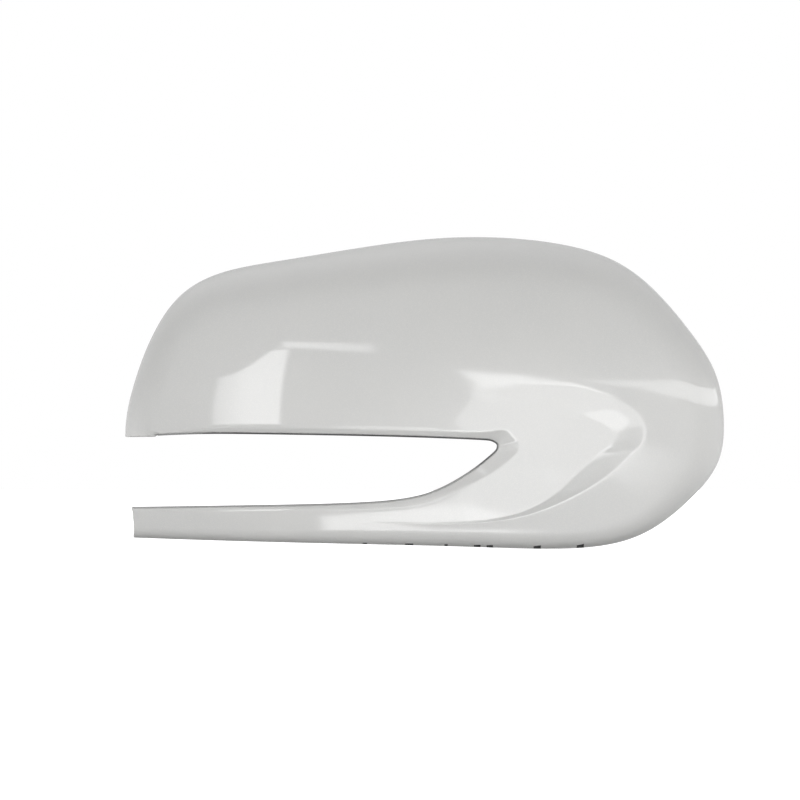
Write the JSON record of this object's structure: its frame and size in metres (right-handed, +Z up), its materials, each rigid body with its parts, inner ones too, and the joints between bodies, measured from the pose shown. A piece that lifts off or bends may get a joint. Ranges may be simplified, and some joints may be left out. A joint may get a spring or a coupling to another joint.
{
  "type": "wing mirror cover",
  "caption": "Painted outer cover of a door mirror: a one-piece moulded shell with a long lamp slot open at its outboard end and a sunken arrow-shaped scoop.",
  "frame": {"origin": "under the middle of the bounding box, at the height of the lower edge", "axes": "as fitted: +X from the outboard end to the inboard end, +Y back from the painted face towards the open rim, +Z up"},
  "size_m": [0.2501, 0.078, 0.1302],
  "materials": {
    "painted_shell": "pearl white paint under a clear coat outside, bare dark grey moulding inside"
  },
  "bodies": {
    "root": {"mirror_cover": "painted_shell"}
  },
  "joints": []
}
